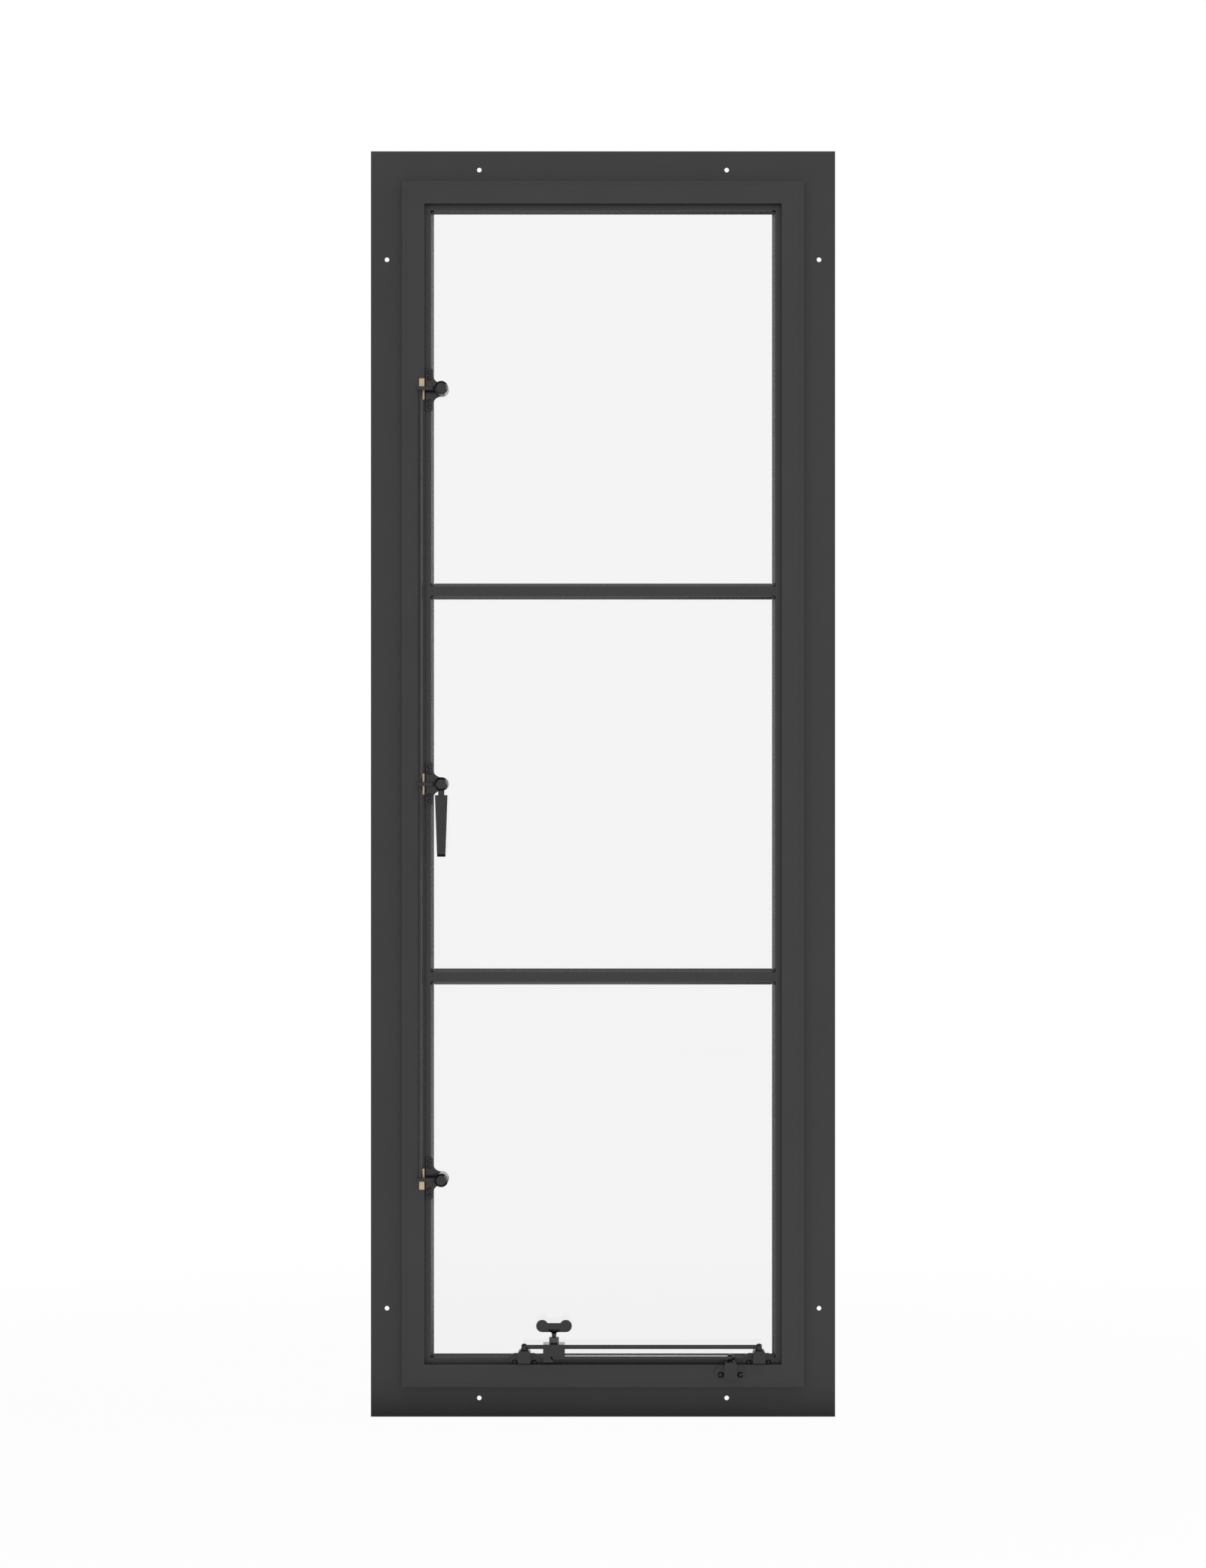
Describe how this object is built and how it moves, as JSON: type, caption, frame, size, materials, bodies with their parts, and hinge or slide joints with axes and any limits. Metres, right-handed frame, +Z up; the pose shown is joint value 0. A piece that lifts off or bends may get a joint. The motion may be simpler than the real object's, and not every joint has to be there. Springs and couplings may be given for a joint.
{
  "type": "steel framed casement window",
  "caption": "Tall steel casement window with one outward opening sash of stacked panes, a linked lever lock, a sliding stay and a nailing flange.",
  "frame": {"origin": "On the room side face of the nailing flange, in the middle of the window's width, on the line of the lower nail holes.", "axes": "+X to the right as seen from the room, +Y out of the building, +Z up. The lock is at -X and the hinges are at +X."},
  "size_m": [0.7066, 0.0672, 1.9258],
  "materials": {
    "frame_paint": "dark grey satin paint on steel",
    "bead_paint": "dark grey satin paint on pressed steel beads",
    "hardware": "dark grey semi gloss coating on steel and bronze fittings",
    "brass": "plain satin brass",
    "glass": "clear float glass",
    "seal": "black rubber"
  },
  "bodies": {
    "window": {"frame_head": "frame_paint", "frame_sill": "frame_paint", "frame_left_jamb": "frame_paint", "frame_right_jamb": "frame_paint", "flange_head": "frame_paint", "flange_sill": "frame_paint", "flange_left": "frame_paint", "flange_right": "frame_paint", "sash_top_rail": "frame_paint", "sash_bottom_rail": "frame_paint", "sash_lock_stile": "frame_paint", "sash_hinge_stile": "frame_paint", "glazing_bar_upper": "frame_paint", "glazing_bar_lower": "frame_paint", "hinge_top": "frame_paint", "hinge_middle": "frame_paint", "hinge_bottom": "frame_paint", "glass_top": "glass", "glass_middle": "glass", "glass_bottom": "glass", "beads_top": "bead_paint", "beads_middle": "bead_paint", "beads_bottom": "bead_paint", "weather_seal": "seal", "lock_plate_top": "hardware", "lock_plate_middle": "hardware", "lock_plate_bottom": "hardware", "strikes": "brass", "stay_rod": "hardware", "stay_bracket_left": "hardware", "stay_bracket_right": "hardware", "stay_block": "hardware", "stay_arm": "hardware", "stay_frame_bracket": "hardware"},
    "lever": {"lock_arm_middle": "hardware", "lock_knob_middle": "hardware", "lever_handle": "hardware"},
    "upper_lock": {"lock_arm_top": "hardware", "lock_knob_top": "hardware"},
    "lower_lock": {"lock_arm_bottom": "hardware", "lock_knob_bottom": "hardware"},
    "tie_rod": {"tie_rod": "hardware"},
    "thumb_screw": {"thumb_screw": "hardware"}
  },
  "joints": [
    {"name": "lever_turn", "type": "hinge", "parent": "window", "child": "lever", "pos_m": [-0.2445, -0.035, 0.9344], "axis": [0, -1, 0], "range_deg": [0, 55]},
    {"name": "upper_lock_turn", "type": "hinge", "parent": "window", "child": "upper_lock", "pos_m": [-0.2445, -0.035, 1.5334], "axis": [0, -1, 0], "range_deg": [0, 55]},
    {"name": "lower_lock_turn", "type": "hinge", "parent": "window", "child": "lower_lock", "pos_m": [-0.2445, -0.035, 0.3354], "axis": [0, -1, 0], "range_deg": [0, 55]},
    {"name": "tie_rod_swing", "type": "hinge", "parent": "lever", "child": "tie_rod", "pos_m": [-0.2765, -0.0298, 0.9344], "axis": [0, -1, 0], "range_deg": [-55, 0]},
    {"name": "thumb_screw_turn", "type": "hinge", "parent": "window", "child": "thumb_screw", "pos_m": [-0.0742, -0.029, 0.1], "axis": [0, 0, 1], "range_deg": [0, 270]}
  ],
  "couplings": [
    {"joint": "upper_lock_turn", "follows": "lever_turn", "ratio": 1},
    {"joint": "lower_lock_turn", "follows": "lever_turn", "ratio": 1},
    {"joint": "tie_rod_swing", "follows": "lever_turn", "ratio": -1}
  ]
}
